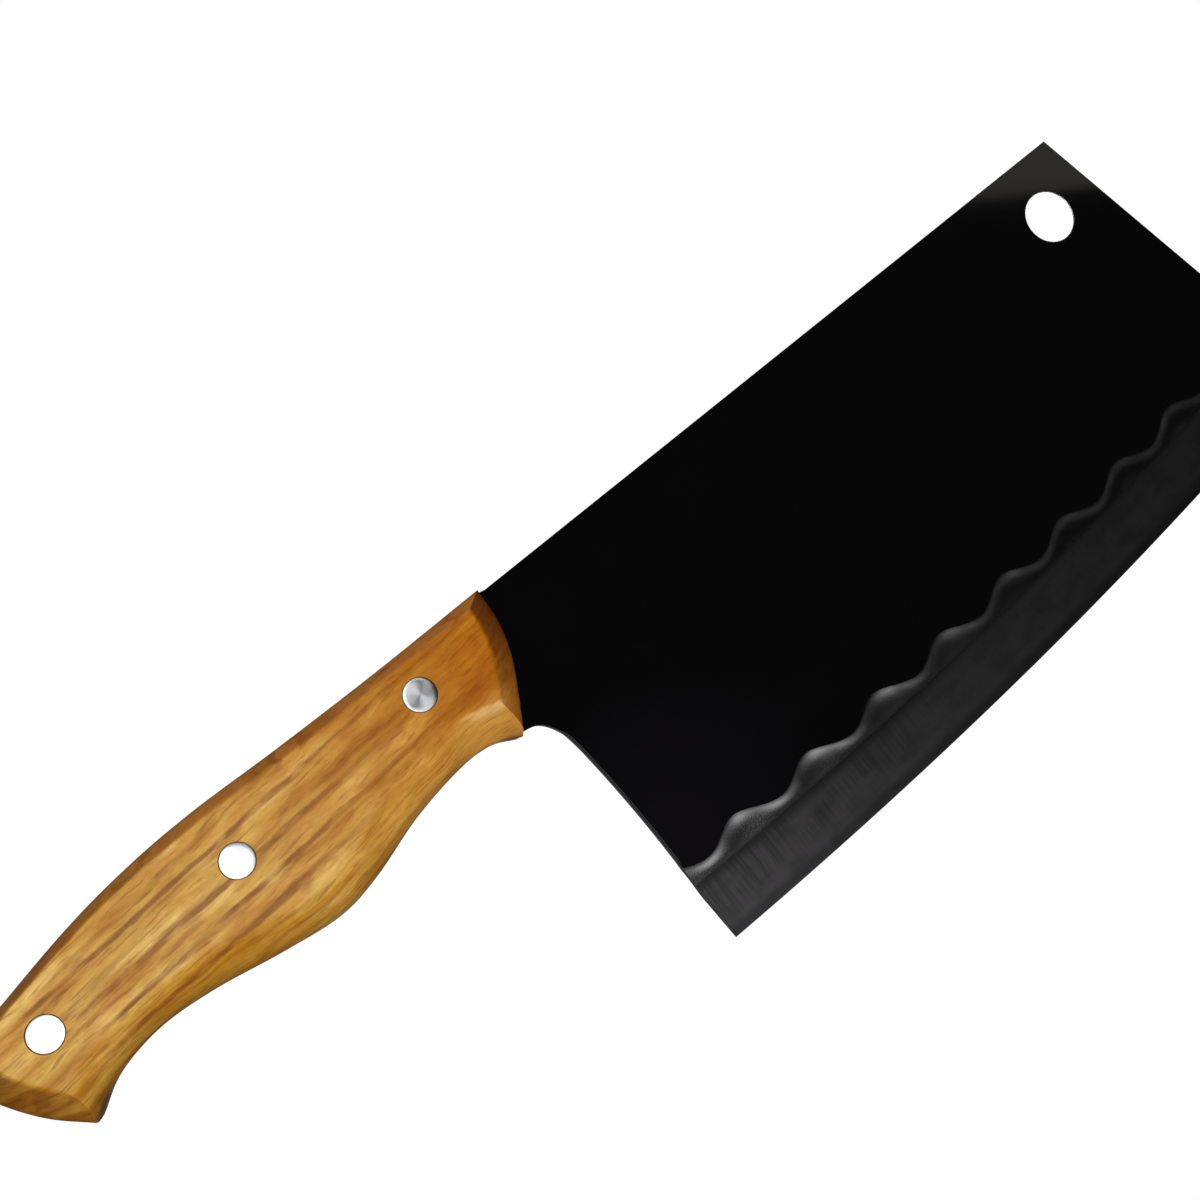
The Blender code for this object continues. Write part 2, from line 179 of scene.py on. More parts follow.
def curve_through(points_mm, steps):
    """A smooth open curve through points given in millimetres, with so many steps in each span."""
    points = [Vector(p) * MM for p in points_mm]
    padded = [2 * points[0] - points[1], *points, 2 * points[-1] - points[-2]]
    curve = []
    for before, start, end, after in zip(padded, padded[1:], padded[2:], padded[3:]):
        for step in range(steps):
            t = step / steps
            ease_in = (end - before) * (t - 2 * t * t + t ** 3) / 2
            ease_out = (after - start) * (t ** 3 - t * t) / 2
            blend = 3 * t * t - 2 * t ** 3
            curve.append(start.lerp(end, blend) + ease_in + ease_out)
    curve.append(points[-1])
    return curve


def circle_points(centre, radius, count):
    angles = [2 * math.pi * k / count for k in range(count)]
    return [(centre.x + radius * math.cos(a), centre.y + radius * math.sin(a)) for a in angles]


def ring_of(solid, points, height):
    return [solid.verts.new((x, y, height)) for x, y in points]


def bridge(solid, first, second, closed=True, slot=0):
    """Quads between two rows of vertices; where both rows share a vertex the quad is a triangle."""
    count = len(first)
    for k in range(count if closed else count - 1):
        after = (k + 1) % count
        corners = list(dict.fromkeys([first[k], first[after], second[after], second[k]]))
        if len(corners) > 2:
            solid.faces.new(corners).material_index = slot


def fill_level(solid, loops, facing):
    """A level face with holes: the first loop is its outline, the others are the holes."""
    edges = []
    for loop in loops:
        for a, b in zip(loop, loop[1:] + loop[:1]):
            edges.append(solid.edges.get((a, b)) or solid.edges.new((a, b)))
    bmesh.ops.triangle_fill(solid, use_beauty=True, use_dissolve=False, edges=edges,
                            normal=(0.0, 0.0, facing))


# ---------------------------------------------------------------- blade

def heel_line(y):
    """X of the heel at this Y."""
    middle = (HEEL_TOP_Y + HEEL_LOW_Y) / 2
    share = (y - middle) / (HEEL_TOP_Y - middle)
    return HEEL_X + HEEL_BOW * max(0.0, 1 - share * share)


def edge_point(x, distance):
    """The point at this X that lies this far inside the cutting edge."""
    radius = EDGE_RADIUS - distance
    return Vector((x, EDGE_CENTRE.y - math.sqrt(radius ** 2 - (x - EDGE_CENTRE.x) ** 2)))


def wave(x):
    """Height of the border at this X: 1 at a crest, about -1 between crests, leaning a little."""
    angle = 2 * math.pi * (x - WAVE_CREST_X) / WAVE_LENGTH
    shape = WAVE_SHARPNESS * (math.cos(2 * angle) - 1) - WAVE_LEAN * math.sin(2 * angle)
    return math.cos(angle) + shape


def wave_distance(x):
    return WAVE_DISTANCE + WAVE_HEIGHT * wave(x)


def fillet_point(x, share):
    """Distance from the cutting edge and half thickness, at this share of the fillet's width."""
    distance = wave_distance(x) + (TAPER_DISTANCE - wave_distance(x)) * share
    drop = FILLET_DEPTH * (1 - max(0.0, 1 - share / FILLET_REACH) ** FILLET_CURVE)
    hollow = CREST_HOLLOW * max(wave(x), 0.0) * math.sin(math.pi * share)
    return distance, STEEL_HALF - drop - hollow


def taper_point(distance):
    """The same on the taper."""
    head = STEEL_HALF - FILLET_DEPTH
    share = (TAPER_DISTANCE - distance) / (TAPER_DISTANCE - SHOULDER_DISTANCE)
    return distance, head + (SHOULDER_HALF - head) * share ** TAPER_CURVE


def honed_point(distance):
    """The same on the honed strip."""
    share = distance / SHOULDER_DISTANCE
    return distance, EDGE_HALF + (SHOULDER_HALF - EDGE_HALF) * share


def bevel_shapes():
    """One function of X for each row, from the wavy border down to the cutting edge."""
    shapes = [lambda x, share=share: fillet_point(x, share) for share in FILLET_SHARES]
    shapes += [lambda _, d=d: taper_point(d) for d in [*TAPER_ROWS, SHOULDER_DISTANCE]]
    shapes += [lambda _, d=d: honed_point(d) for d in [SHOULDER_DISTANCE / 2, 0.0]]
    return shapes


def bevel_row(shape):
    """One row from the heel line to the end edge; shape gives a distance and a height for each X.

    Both ends depend on the distance there, so they are found by substituting a few times.
    """
    x_start = HEEL_X
    x_end = SPINE_END_X
    for _ in range(ROW_END_PASSES):
        x_start = heel_line(edge_point(x_start, shape(x_start)[0]).y)
        x_end = SPINE_END_X - END_LEAN * edge_point(x_end, shape(x_end)[0]).y
    steps = round((SPINE_END_X - HEEL_X) / WAVE_LENGTH * WAVE_STEPS)
    row = []
    for step in range(steps + 1):
        x = x_start + (x_end - x_start) * step / steps
        distance, height = shape(x)
        row.append((x, edge_point(x, distance).y, height))
    return row


def rim_path():
    """The blade's outline from the tip end, over the spine and round the tang, to the wavy border."""
    border_y = edge_point(HEEL_X, wave_distance(HEEL_X)).y
    heel = [HEEL_TOP_Y + (border_y - HEEL_TOP_Y) * step / HEEL_STEPS for step in range(1, HEEL_STEPS)]
    path = [Vector((SPINE_END_X, 0.0)), Vector((0.0, 0.0))]
    path += curve_through(HANDLE_TOP, TANG_SIDE_STEPS)
    path += curve_through(HANDLE_BUTT, TANG_BUTT_STEPS)[1:]
    path += curve_through(HANDLE_BOTTOM, TANG_SIDE_STEPS)[1:-CHOIL_OVERLAP]
    path += curve_through(CHOIL, TANG_SIDE_STEPS)
    path += [Vector((heel_line(y), y)) for y in heel]
    return path


def inset_path(path, before, after, distance):
    """The path moved to its left with mitred corners; before and after are its neighbours."""
    full = [before, *path, after]
    moved = []
    for a, b, c in zip(full, full[1:], full[2:]):
        first = (b - a).normalized()
        second = (c - b).normalized()
        normals = Vector((-first.y, first.x)) + Vector((-second.y, second.x))
        moved.append(b + distance * normals / (1 + first.dot(second)))
    return moved


def hole_profile(radius, rounding):
    """(radius, half thickness) pairs from the rim of a hole in the blade to its wall."""
    angles = [math.pi / 2 * k / ROUND_STEPS for k in range(ROUND_STEPS + 1)]
    return [(radius + rounding * (1 - math.sin(a)), STEEL_HALF - rounding * (1 - math.cos(a)))
            for a in angles]


def build_blade(materials):
    coated, ground, bare = range(3)
    solid = bmesh.new()
    rows = [bevel_row(shape) for shape in bevel_shapes()]
    path = rim_path()
    tip_end = Vector(rows[0][-1][:2])
    heel_end = Vector(rows[0][0][:2])
    rims = []
    hole_walls = []
    for side in (1, -1):
        grid = [[solid.verts.new((x, y, side * z)) for x, y, z in row] for row in rows]
        rings = []
        for k in range(ROUND_STEPS + 1):
            angle = math.pi / 2 * k / ROUND_STEPS
            points = inset_path(path, tip_end, heel_end, EDGE_ROUND * (1 - math.cos(angle)))
            height = side * (STEEL_HALF - EDGE_ROUND * (1 - math.sin(angle)))
            inner = [solid.verts.new((p.x, p.y, height)) for p in points]
            rings.append([grid[0][-1], *inner, grid[0][0]])
        for outer, inner in zip(rings, rings[1:]):
            bridge(solid, outer, inner, closed=False, slot=coated)
        for upper, lower in zip(grid, grid[1:]):
            bridge(solid, upper, lower, closed=False, slot=ground)
        loops = [rings[-1] + grid[0][1:-1]]
        walls = []
        holes = [(HANG_HOLE, HANG_HOLE_RADIUS, TURN_STEPS)]
        holes += [(centre, TUBE_RADIUS + SEAM, BORE_STEPS) for centre in RIVET_CENTRES.values()]
        for centre, radius, count in holes:
            levels = [ring_of(solid, circle_points(centre, r, count), side * z)
                      for r, z in hole_profile(radius, EDGE_ROUND)]
            for outer, inner in zip(levels, levels[1:]):
                bridge(solid, outer, inner, slot=bare)
            loops.append(levels[0])
            walls.append(levels[-1])
        hole_walls.append(walls)
        fill_level(solid, loops, side)
        heel_rows = [row[0] for row in grid[1:-1]]
        tip_rows = [row[-1] for row in grid[-2:0:-1]]
        rims.append([*rings[0], *heel_rows, *grid[-1], *tip_rows])
    for right, left in zip(*hole_walls):
        bridge(solid, right, left, slot=bare)
    right, left = rims
    bridge(solid, right, left, slot=coated)
    place_piece("blade", solid, materials, "blade_and_tang", 35)


# ---------------------------------------------------------------- handle scales

def smooth_step(value, start, end):
    t = min(max((value - start) / (end - start), 0.0), 1.0)
    return t * t * (3 - 2 * t)


def falling_away(below, width, depth, power):
    """How far a bevelled side has moved inwards at this distance below the flat."""
    t = max(0.0, 1.0 - below / depth)
    near = max(0.0, 1.0 - below / WOOD_ROUND)
    return width * t ** power + WOOD_ROUND_WIDTH * (1.0 - math.sqrt(1.0 - near * near))


def top_side(x, below):
    """A chamfer that narrows a little towards the butt."""
    narrowing = smooth_step(x, -70.0 * MM, -108.0 * MM)
    return falling_away(below, width=(2.1 - 0.6 * narrowing) * MM, depth=3.0 * MM, power=1.15)


def butt_side(x, below):
    """The same all round the butt, whatever X is."""
    return falling_away(below, width=5.2 * MM, depth=4.5 * MM, power=1.3)


def front_side(x, below):
    """The same all down the front, whatever X is."""
    return falling_away(below, width=4.2 * MM, depth=4.0 * MM, power=1.5)


def bottom_side(x, below):
    """A quarter round along the belly that turns into a plane facet at the front corner."""
    depth, width = 6.4 * MM, 7.6 * MM
    t = max(0.0, 1.0 - below / depth)
    quarter_round = width * (1.0 - math.sqrt(1.0 - t * t))
    facet = falling_away(below, width=6.6 * MM, depth=5.6 * MM, power=1.4)
    blend = smooth_step(x, -27.0 * MM, -19.5 * MM)
    return quarter_round + (facet - quarter_round) * blend


# each side's outline, its shape and how many points it has on every level
SCALE_SIDES = [
    (HANDLE_TOP, top_side, 110),
    (HANDLE_BUTT, butt_side, 36),
    (HANDLE_BOTTOM, bottom_side, 140),
    (HANDLE_FRONT, front_side, 44),
]
# in millimetres, closest together where the sides curve most
LEVELS_BELOW_FLAT = [6.9, 6.4, 6.1, 5.8, 5.5, 5.2, 4.9, 4.6, 4.3, 4.0, 3.7, 3.4, 3.1, 2.8, 2.5, 2.2, 1.9,
                     1.6, 1.3, 1.0, 0.8, 0.6, 0.48, 0.38, 0.29, 0.21, 0.14, 0.08, 0.04, 0.015, 0.0]


def moved_inwards(curve, distance_at):
    """The curve moved to its left, with both ends run on so that neighbours cross."""
    moved = []
    for k, point in enumerate(curve):
        along = (curve[min(k + 1, len(curve) - 1)] - curve[max(k - 1, 0)]).normalized()
        moved.append(point + distance_at(point.x) * Vector((-along.y, along.x)))
    start = moved[0] + SCALE_RUN_ON * (moved[0] - moved[1]).normalized()
    end = moved[-1] + SCALE_RUN_ON * (moved[-1] - moved[-2]).normalized()
    return [start, *moved, end]


def crossing(first, second):
    """Where the end of one open curve crosses the start of the next, as a place along each."""
    for i in range(len(first) - 2, -1, -1):
        a, b = first[i], first[i + 1]
        for j in range(len(second) - 1):
            c, d = second[j], second[j + 1]
            ab, cd, ac = b - a, d - c, c - a
            turn = ab.cross(cd)
            if turn == 0.0:
                continue
            s = ac.cross(cd) / turn
            t = ac.cross(ab) / turn
            if 0.0 <= s <= 1.0 and 0.0 <= t <= 1.0:
                return i + s, j + t
    raise ValueError("the sides of the scale do not meet")


def point_on(curve, place):
    k = min(int(place), len(curve) - 2)
    return curve[k].lerp(curve[k + 1], place - k)


def evenly_spaced(curve, start, end, count):
    """So many points between two places on the curve, the last place left out."""
    inner = range(int(start) + 1, int(math.ceil(end)))
    piece = [point_on(curve, start), *[curve[k] for k in inner], point_on(curve, end)]
    lengths = [0.0]
    for a, b in zip(piece, piece[1:]):
        lengths.append(lengths[-1] + (b - a).length)
    points = []
    k = 0
    for step in range(count):
        target = lengths[-1] * step / count
        while lengths[k + 1] < target:
            k += 1
        share = (target - lengths[k]) / (lengths[k + 1] - lengths[k])
        points.append(piece[k].lerp(piece[k + 1], share))
    return points


def scale_ring(below):
    """A scale's outline at this level below its flat."""
    sides = [moved_inwards(curve_through(points, SCALE_STEPS), lambda x, shape=shape: shape(x, below))
             for points, shape, _ in SCALE_SIDES]
    corners = [crossing(sides[k - 1], sides[k]) for k in range(len(sides))]
    ring = []
    for k, (_, _, count) in enumerate(SCALE_SIDES):
        ring += evenly_spaced(sides[k], corners[k][1], corners[(k + 1) % len(sides)][0], count)
    return ring


def build_scale(name, side, materials, rings_mm):
    """One handle scale; rings_mm holds its outline at each level below the flat."""
    solid = bmesh.new()
    inner_face = STEEL_HALF + SEAM
    outer = []
    for below, points in rings_mm:
        outer.append(ring_of(solid, points, side * (HANDLE_HALF - below)))
    bottom = ring_of(solid, rings_mm[0][1], side * inner_face)
    bridge(solid, bottom, outer[0])
    for lower, upper in zip(outer, outer[1:]):
        bridge(solid, lower, upper)
    top_loops = [outer[-1]]
    bottom_loops = [bottom]
    seat = HEAD_FACE - HEAD_HEIGHT - SEAM
    mouth = HEAD_RADIUS + HEAD_SEAM
    shank = TUBE_RADIUS + SEAM
    profile = [(mouth + SEAT_RIM, HANDLE_HALF), (mouth + 0.4 * SEAT_RIM, HANDLE_HALF - 0.25 * SEAT_RIM),
               (mouth, HANDLE_HALF - SEAT_RIM), (mouth, seat), (shank, seat), (shank, inner_face)]
    for centre in RIVET_CENTRES.values():
        levels = [ring_of(solid, circle_points(centre, r, TURN_STEPS), side * z) for r, z in profile]
        for upper, lower in zip(levels, levels[1:]):
            bridge(solid, upper, lower)
        top_loops.append(levels[0])
        bottom_loops.append(levels[-1])
    fill_level(solid, top_loops, side)
    fill_level(solid, bottom_loops, -side)
    place_piece(name, solid, materials, name.replace("scale", "handle_scale"), 24)


def build_scales(materials):
    rings_mm = [(level * MM, scale_ring(level * MM)) for level in LEVELS_BELOW_FLAT]
    build_scale("scale_right", 1, materials, rings_mm)
    build_scale("scale_left", -1, materials, rings_mm)


# ---------------------------------------------------------------- rivets

def turned(profile):
    """A solid of revolution about Z; the profile's first and last points lie on the axis."""
    solid = bmesh.new()
    rings = []
    for radius, height in profile:
        if radius == 0.0:
            rings.append([solid.verts.new((0.0, 0.0, height))] * TURN_STEPS)
        else:
            rings.append(ring_of(solid, circle_points(Vector((0.0, 0.0)), radius, TURN_STEPS), height))
    for lower, upper in zip(rings, rings[1:]):
        bridge(solid, lower, upper)
    return solid


def head_profile(shank):
    """A rivet's head, from its shank up to the middle of its slightly crowned face."""
    under = HEAD_FACE - HEAD_HEIGHT
    corner = HEAD_FACE - HEAD_CROWN - HEAD_RIM
    angles = [math.pi / 2 * k / HEAD_RIM_STEPS for k in range(HEAD_RIM_STEPS + 1)]
    rounding = [(HEAD_RADIUS - HEAD_RIM * (1 - math.cos(a)), corner + HEAD_RIM * math.sin(a))
                for a in angles]
    crown = [(HEAD_RADIUS * share, HEAD_FACE - HEAD_CROWN * share * share)
             for share in (0.75, 0.5, 0.25, 0.0)]
    return [(shank, under), (HEAD_RADIUS, under), *rounding, *crown]


def build_rivets(material):
    """Each rivet is a pin with its head on the right, in a tube with its head on the left."""
    under = HEAD_FACE - HEAD_HEIGHT
    pin_end = -under + PIN_END
    pin = [(0.0, pin_end), (PIN_RADIUS - PIN_TIP, pin_end), (PIN_RADIUS, pin_end + PIN_TIP),
           *head_profile(PIN_RADIUS)]
    floor = -under + TUBE_FLOOR
    mouth = under - TUBE_MOUTH
    head = [(radius, -height) for radius, height in head_profile(TUBE_RADIUS)]
    tube = [(0.0, floor), (TUBE_BORE, floor), (TUBE_BORE, mouth), (TUBE_RADIUS, mouth), *head]
    for place, centre in RIVET_CENTRES.items():
        for kind, profile in (("pin", pin), ("tube", tube)):
            name = f"rivet_{place}_{kind}"
            piece = place_piece(f"{name}_turned", turned(profile), [material], name, 30)
            piece.location = BLADE_ORIGIN + Vector((centre.x, centre.y, 0.0))


# ---------------------------------------------------------------- shader helpers

class Shader:
    """A Principled material and short calls that add nodes to it."""

    def __init__(self, name, **fixed):
        self.material = bpy.data.materials.new(name)
        self.material.use_nodes = True
        self.tree = self.material.node_tree
        self.principled = self.tree.nodes["Principled BSDF"]
        for key, value in fixed.items():
            self.principled.inputs[key.replace("_", " ")].default_value = value

    def link(self, source, socket):
        self.tree.links.new(source, socket)

    def feed(self, socket, value):
        """Links value to the socket if it comes from a node, and otherwise sets it."""
        if isinstance(value, bpy.types.NodeSocket):
            self.link(value, socket)
        else:
            socket.default_value = value

    def node(self, kind, *values, **settings):
        made = self.tree.nodes.new(kind)
        for key, value in settings.items():
            setattr(made, key, value)
        for socket, value in zip(made.inputs, values):
            if value is not None:
                self.feed(socket, value)
        return made

    def position(self):
        """Object coordinates in millimetres."""
        raw = self.node("ShaderNodeTexCoord").outputs["Object"]
        return self.node("ShaderNodeVectorMath", raw, (1000, 1000, 1000), operation="MULTIPLY").outputs[0]

    def split(self, vector):
        return self.node("ShaderNodeSeparateXYZ", vector).outputs

    def join(self, x, y, z):
        return self.node("ShaderNodeCombineXYZ", x, y, z).outputs[0]

    def math(self, operation, *values):
        return self.node("ShaderNodeMath", *values, operation=operation).outputs[0]

    def scaled(self, vector, factors):
        return self.node("ShaderNodeVectorMath", vector, factors, operation="MULTIPLY").outputs[0]

    def noise(self, vector, detail=2.0, roughness=0.5, distortion=0.0, scale=1.0):
        made = self.node("ShaderNodeTexNoise", noise_dimensions="3D")
        self.feed(made.inputs["Vector"], vector)
        made.inputs["Scale"].default_value = scale
        made.inputs["Detail"].default_value = detail
        made.inputs["Roughness"].default_value = roughness
        made.inputs["Distortion"].default_value = distortion
        return made.outputs["Fac"]

    def ramp(self, value, start, end, out_start=0.0, out_end=1.0):
        """A smooth step from out_start to out_end."""
        made = self.node("ShaderNodeMapRange", value, start, end, out_start, out_end,
                         interpolation_type="SMOOTHSTEP")
        return made.outputs[0]

    def colours(self, value, stops):
        made = self.node("ShaderNodeValToRGB", value)
        elements = made.color_ramp.elements
        while len(elements) < len(stops):
            elements.new(0.5)
        for element, (place, colour) in zip(elements, stops):
            element.position = place
            element.color = (*colour, 1.0)
        return made.outputs["Color"]

    def mix(self, factor, first, second, blend="MIX"):
        made = self.node("ShaderNodeMix", data_type="RGBA", blend_type=blend)
        self.feed(made.inputs["Factor"], factor)
        for name, value in (("A", first), ("B", second)):
            socket = [s for s in made.inputs if s.name == name and s.type == "RGBA"][0]
            self.feed(socket, value if isinstance(value, bpy.types.NodeSocket) else (*value, 1.0))
        return [s for s in made.outputs if s.type == "RGBA"][0]

    def bump(self, height, strength, distance):
        made = self.node("ShaderNodeBump")
        made.inputs["Strength"].default_value = strength
        made.inputs["Distance"].default_value = distance
        self.link(height, made.inputs["Height"])
        self.link(made.outputs["Normal"], self.principled.inputs["Normal"])

    def set(self, name, value):
        self.feed(self.principled.inputs[name], value)


def srgb(red, green, blue):
    """A linear colour from 0-255 display values."""
    def linear(value):
        value /= 255
        return value / 12.92 if value <= 0.04045 else ((value + 0.055) / 1.055) ** 2.4
    return linear(red), linear(green), linear(blue)


# ---------------------------------------------------------------- materials

VEIN_SLOPE = 0.054                    # the long veins rise this much per unit along the handle
VEIN_TILT = 0.35                      # and fall this much per unit away from the blade's middle plane
# The long dark veins, in millimetres: the height on the flat where a vein's line would reach the blade,
# the places along the handle where it starts and ends, and half its width
VEINS = [
    (-2.1, -106.0, -6.0, 0.75),
    (-8.2, -98.0, -55.0, 0.85),
    (-7.9, -58.0, -26.0, 0.6),
    (-12.3, -96.0, -6.0, 0.7),
    (-16.4, -98.0, -54.0, 0.85),
    (-6.3, -46.0, -27.0, 0.6),
]


class WoodGrain:
    """Patterns of open-grained wood whose rings lie askew, so that rounded sides cut them in curves."""

    def __init__(self, shader):
        self.s = s = shader
        self.place = s.position()
        self.u, self.v, self.w = s.split(self.place)
        self.slow = s.math("SUBTRACT", self.stretched(42, 14), 0.5)
        self.quick = s.math("SUBTRACT", self.stretched(11, 3.0), 0.5)
        self.ragged = s.math("SUBTRACT", self.stretched(2.5, 0.5), 0.5)
        # across the rings, which rise along the handle, wander and lie askew in its thickness
        across = s.math("MULTIPLY_ADD", self.u, -0.075, self.v)
        across = s.math("MULTIPLY_ADD", self.slow, 6.0, s.math("MULTIPLY_ADD", self.quick, 1.5, across))
        across = s.math("MULTIPLY_ADD", self.ragged, 0.30, across)
        self.across = s.math("MULTIPLY_ADD", self.w, 0.75, across)

        self.tone = self.along(20, 3.8, 3.1)
        self.thin = s.ramp(self.along(6, 0.6, 23.9), 0.54, 0.70)
        self.fibre = self.along(4, 0.3, 31.7, roughness=0.6)
        self.pores = s.ramp(self.along(2.2, 0.16, 41.3, detail=1.0), 0.64, 0.72)
        self.mottle = self.stretched(2.2, 0.9)
        self.cloud = self.stretched(8.0, 3.0)
        # the dark lines are bolder towards the butt
        bolder = s.ramp(self.u, -58.0, -36.0, 1.0, 0.6)
        self.streak = s.math("MULTIPLY", self.streaks(), bolder)
        self.veins = s.math("MULTIPLY", self.long_veins(), bolder)

    def stretched(self, length, width):
        """Noise whose patches have this length along the handle and this width."""
        return self.s.noise(self.s.scaled(self.place, (1 / length, 1 / width, 1 / width)), 2.0)

    def along(self, length, width, seed, detail=2.0, roughness=0.5):
        """Noise that follows the grain; every seed gives another pattern."""
        s = self.s
        place = s.join(s.math("DIVIDE", self.u, length), s.math("DIVIDE", self.across, width), seed)
        return s.noise(place, detail, roughness)

    def streaks(self):
        """Soft dark bands, one to a ring, that come and go."""
        s = self.s
        ring = s.math("FRACT", s.math("MULTIPLY_ADD", self.along(30, 6.0, 9.7, detail=1.0), 1.5,
                                      s.math("DIVIDE", self.across, 3.1)))
        off_band = s.math("ABSOLUTE", s.math("SUBTRACT", ring, 0.5))
        presence = s.ramp(self.along(11, 1.6, 17.3), 0.38, 0.55)
        return s.math("MULTIPLY", s.ramp(off_band, 0.27, 0.03), presence)

    def long_veins(self):
        """The VEINS, wandering with the grain and paler in places."""
        s = self.s
        wobble = s.math("MULTIPLY_ADD", self.ragged, 0.3, self.slow)
        wobble = s.math("MULTIPLY_ADD", self.quick, 1.2, wobble)
        level = s.math("MULTIPLY_ADD", self.u, -VEIN_SLOPE, self.v)
        level = s.math("MULTIPLY_ADD", self.w, VEIN_TILT, level)
        level = s.math("ADD", level, wobble)
        veins = None
        for height, start, end, width in VEINS:
            away = s.math("ABSOLUTE", s.math("SUBTRACT", level, height + VEIN_TILT * HANDLE_HALF / MM))
            stretch = s.math("MULTIPLY", s.ramp(self.u, start - 4.0, start + 4.0),
                             s.ramp(self.u, end + 4.0, end - 4.0))
            vein = s.math("MULTIPLY", s.ramp(away, width, 0.3 * width), stretch)
            veins = s.math("MAXIMUM", veins, vein) if veins else vein
        return s.math("MULTIPLY", veins, s.ramp(self.along(7, 2.5, 52.9), 0.36, 0.56, 0.4, 1.0))


def wood_between_lines(s, grain, redder, facet, upward):
    """The wood's colour before its dark lines; upward is the Y of the surface's normal."""
    u = grain.u
    pale = s.colours(grain.tone, [(0.32, srgb(174, 120, 36)), (0.50, srgb(200, 156, 69)),
                                  (0.68, srgb(223, 184, 104))])
    red = s.colours(grain.tone, [(0.34, srgb(156, 90, 6)), (0.50, srgb(171, 106, 9)),
                                 (0.66, srgb(183, 119, 18))])
    colour = s.mix(redder, pale, red)
    warm = s.mix(redder, srgb(187, 128, 47), srgb(160, 90, 10))
    colour = s.mix(s.ramp(grain.cloud, 0.38, 0.64, 0.0, 0.60), colour, warm)
    # painted light: the facet at the front corner is painted paler, standing in for light falling on it
    colour = s.mix(s.math("MULTIPLY", facet, 0.7), colour, srgb(204, 148, 68))
    # painted light: the rounded lower side is painted paler near the blade where it faces down, and it is
    # golden towards the butt
    painted_light_below = s.math("MULTIPLY", s.ramp(upward, -0.10, -0.40), s.ramp(u, -50.0, -38.0, 0.0, 0.45))
    colour = s.mix(painted_light_below, colour, srgb(212, 156, 72))
    golden = s.math("MULTIPLY", s.ramp(u, -64.0, -74.0, 0.0, 0.65), s.ramp(u, -98.0, -86.0, 0.35, 1.0))
    golden = s.math("MULTIPLY", golden, s.ramp(upward, -0.12, -0.45))
    colour = s.mix(golden, colour, srgb(172, 116, 18))
    # the chamfer along the top has an even tone
    chamfer = s.mix(s.ramp(u, -70.0, -92.0), srgb(184, 118, 54), srgb(166, 108, 50))
    return s.mix(s.ramp(upward, 0.30, 0.60, 0.0, 0.9), colour, chamfer)


def painted_highlight_wedge(s, grain):
    """Where a painted highlight in pale colour lies below the ridge between the flat and the facet at the
    front corner.
    """
    below_ridge = s.math("MULTIPLY_ADD", grain.u, -0.27, s.math("SUBTRACT", -20.9, grain.v))
    highlight_wedge = s.math("MULTIPLY", s.ramp(below_ridge, -0.3, 0.5), s.ramp(below_ridge, 2.6, 0.9))
    uneven_end = s.ramp(s.math("MULTIPLY_ADD", grain.cloud, 7.0, grain.u), -17.5, -13.5)
    return s.math("MULTIPLY", highlight_wedge, uneven_end)


def stained_and_shaded_end_grain(s, grain, colour):
    """The colour of end grain on the butt and front bevels: darkened partly by stain it takes up and
    partly by painted shade, more towards the spine, with dark patches.
    """
    stain_and_shade = s.mix(s.ramp(grain.v, -6.0, -20.0), (0.32, 0.25, 0.18), (0.53, 0.39, 0.17))
    stained_and_shaded = s.mix(1.0, colour, stain_and_shade, blend="MULTIPLY")
    return s.mix(s.ramp(grain.cloud, 0.50, 0.66, 0.0, 0.6), stained_and_shaded, srgb(82, 36, 2))


def wood_material():
    """Varnished wood that turns redder towards the blade; its end grain is darker, partly from stain and
    partly from painted shade.
    """
    s = Shader("varnished_wood", Coat_Weight=0.2, Coat_Roughness=0.20, Coat_IOR=1.5,
               Specular_IOR_Level=0.05)
    grain = WoodGrain(s)
    facing = s.split(s.node("ShaderNodeTexCoord").outputs["Normal"])
    end_grain = s.ramp(s.math("ABSOLUTE", facing[0]), 0.22, 0.62)
    redder = s.ramp(grain.u, -70.0, -8.0)
    dark = s.mix(redder, srgb(127, 71, 14), srgb(130, 62, 3))
    facet = s.math("MULTIPLY", s.ramp(grain.u, -26.0, -19.0), s.ramp(grain.v, -14.5, -17.5))

    colour = wood_between_lines(s, grain, redder, facet, facing[1])
    for lines, strength, less_on_facet in ((grain.thin, 0.5, 0.0), (grain.streak, 0.40, 0.25),
                                           (grain.veins, 0.85, 0.6)):
        darkening = s.math("MULTIPLY", lines, s.math("MULTIPLY_ADD", facet, -less_on_facet, strength))
        colour = s.mix(darkening, colour, dark)
    # painted highlight: pale colour below the ridge above the facet, kept off the end grain
    highlight_wedge = s.math("MULTIPLY", painted_highlight_wedge(s, grain), s.math("SUBTRACT", 1.0, end_grain))
    colour = s.mix(s.math("MULTIPLY", highlight_wedge, 0.75), colour, srgb(228, 184, 120))
    colour = s.mix(s.ramp(grain.fibre, 0.40, 0.64, 0.0, 0.12), colour, dark)
    grey = s.colours(grain.mottle, [(0.34, (0.86, 0.83, 0.74)), (0.66, (1.0, 1.0, 1.0))])
    colour = s.mix(1.0, colour, grey, blend="MULTIPLY")
    colour = s.mix(s.math("MULTIPLY", grain.pores, 0.2), colour, srgb(92, 50, 12))
    # the end grain gets its stain and its painted shade
    s.set("Base Color", s.mix(end_grain, colour, stained_and_shaded_end_grain(s, grain, colour)))
    s.set("Roughness", s.ramp(grain.streak, 0.0, 1.0, 0.42, 0.50))
    height = s.math("SUBTRACT", s.math("MULTIPLY", grain.fibre, 0.3), s.math("MULTIPLY", grain.pores, 0.7))
    s.bump(height, 0.35, 0.03 * MM)
    return s.material


